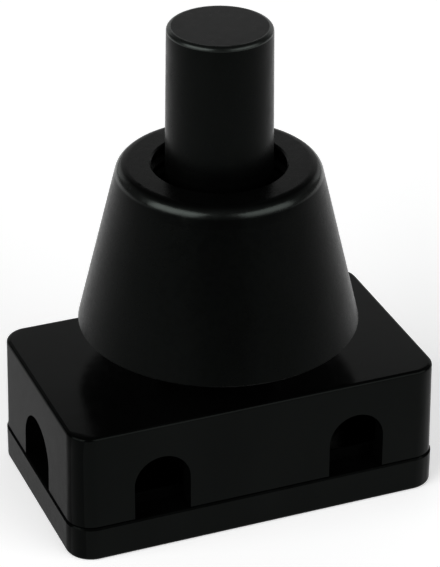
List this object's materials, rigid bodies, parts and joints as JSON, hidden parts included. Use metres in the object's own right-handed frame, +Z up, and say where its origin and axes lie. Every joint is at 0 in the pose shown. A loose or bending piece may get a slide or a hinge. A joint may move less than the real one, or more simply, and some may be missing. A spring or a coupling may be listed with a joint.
{
  "type": "pushbutton switch",
  "caption": "Latching push switch for a lamp: box-shaped housing with a threaded neck, cone-shaped nut and tall round button.",
  "frame": {"origin": "middle of the cover's underside, on the axis of the neck and the button", "axes": "+Z up along the neck and the button, +X along the housing's long side, -Y towards the wall with two wire entries"},
  "size_m": [0.0296, 0.0212, 0.0373],
  "materials": {
    "housing_plastic": "satin moulded",
    "nut_plastic": "satin moulded",
    "button_plastic": "satin moulded",
    "rotor_plastic": "natural moulded",
    "contact_metal": "stamped",
    "contact_face": "bright silver",
    "plated_steel": "zinc plated",
    "spring_steel": "drawn wire"
  },
  "bodies": {
    "housing": {"housing": "housing_plastic", "bottom_cover": "housing_plastic", "contact_strip_right": "contact_metal", "contact_strip_left": "contact_metal", "fixed_contact_right": "contact_face", "fixed_contact_left": "contact_face", "clamp_plate_right": "plated_steel", "clamp_plate_left": "plated_steel", "terminal_screw_right": "plated_steel", "terminal_screw_left": "plated_steel", "return_spring": "spring_steel"},
    "button": {"push_button": "button_plastic"},
    "rotor": {"ratchet_rotor": "rotor_plastic", "contact_bridge": "contact_metal", "bridge_tip_front": "contact_face", "bridge_tip_rear": "contact_face"},
    "nut": {"cone_nut": "nut_plastic"}
  },
  "joints": [
    {"name": "button_press", "type": "slide", "parent": "housing", "child": "button", "axis": [0, 0, -1], "range_m": [0, 0.003], "stiffness_N_per_m": 500, "springref_m": -0.003, "deforming": ["return_spring"]},
    {"name": "rotor_turn", "type": "hinge", "parent": "button", "child": "rotor", "pos_m": [0, 0, 0], "axis": [0, 0, 1], "range_deg": [0, 45]},
    {"name": "nut_travel", "type": "slide", "parent": "housing", "child": "nut", "axis": [0, 0, 1], "range_m": [-0.00295, 0.0085]}
  ],
  "couplings": [
    {"joint": "rotor_turn", "follows": "button_press", "rad_per_m": 261.79}
  ]
}
